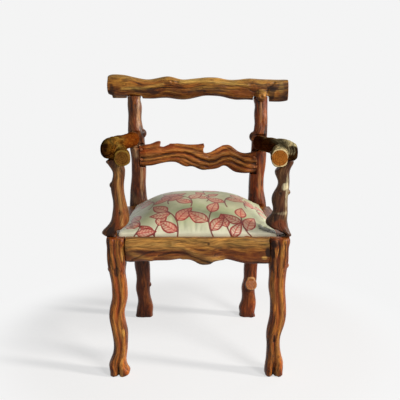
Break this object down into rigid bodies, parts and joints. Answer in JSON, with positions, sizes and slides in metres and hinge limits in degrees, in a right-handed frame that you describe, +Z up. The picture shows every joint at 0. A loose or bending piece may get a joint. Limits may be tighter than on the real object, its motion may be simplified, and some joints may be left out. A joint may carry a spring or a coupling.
{
  "type": "twig armchair",
  "caption": "Rustic root-and-branch armchair with a gnarled crest rail, wavy back slat, log arms and a domed drop-in upholstered seat.",
  "frame": {"origin": "on the floor, under the middle of the chair's bounding box", "axes": "+Z up; -Y is the front, the way the sitter faces; +X is to the right as seen from the front"},
  "size_m": [0.621, 0.5536, 0.858],
  "materials": {
    "leg_wood": "oiled and varnished root wood, orange amber with dark furrows",
    "post_wood": "oiled and varnished branch wood, dark red brown with pale highlights",
    "rail_wood": "oiled and varnished root wood, golden brown with a pale grain along its length",
    "arm_wood": "dark varnished branch wood with pale sawn ends",
    "crest_wood": "varnished gnarled log, golden brown with dark cracks",
    "slat_wood": "varnished driftwood-like slat with ridges along its length",
    "peg_wood": "dark wooden draw pegs",
    "frame_wood": "plain planed softwood",
    "steel": "bright steel screws and blued tacks",
    "webbing": "jute upholstery webbing",
    "hessian": "open plain-weave hessian",
    "stuffing": "fibre stuffing under a wadding layer",
    "seat_fabric": "pale sage satin with a woven coral leaf sprig",
    "lining": "black bottoming cloth"
  },
  "bodies": {
    "root": {"front_leg_left": "leg_wood", "front_leg_right": "leg_wood", "back_post_left": "post_wood", "back_post_right": "post_wood", "front_seat_rail": "rail_wood", "rear_seat_rail": "rail_wood", "side_seat_rail_left": "rail_wood", "side_seat_rail_right": "rail_wood", "arm_support_left": "arm_wood", "arm_support_right": "arm_wood", "arm_left": "arm_wood", "arm_right": "arm_wood", "crest_rail": "crest_wood", "back_slat": "slat_wood", "seat_rail_pegs": "peg_wood", "arm_pegs": "peg_wood", "crest_pegs": "peg_wood", "slat_pegs": "peg_wood", "corner_blocks": "frame_wood", "corner_block_screws": "steel", "seat_screws": "steel", "seat_frame_front": "frame_wood", "seat_frame_rear": "frame_wood", "seat_frame_left": "frame_wood", "seat_frame_right": "frame_wood", "webbing_lengthwise": "webbing", "webbing_crosswise": "webbing", "upholstery_tacks": "steel", "hessian": "hessian", "seat_stuffing": "stuffing", "seat_cover": "seat_fabric", "dust_cover": "lining"}
  },
  "joints": []
}
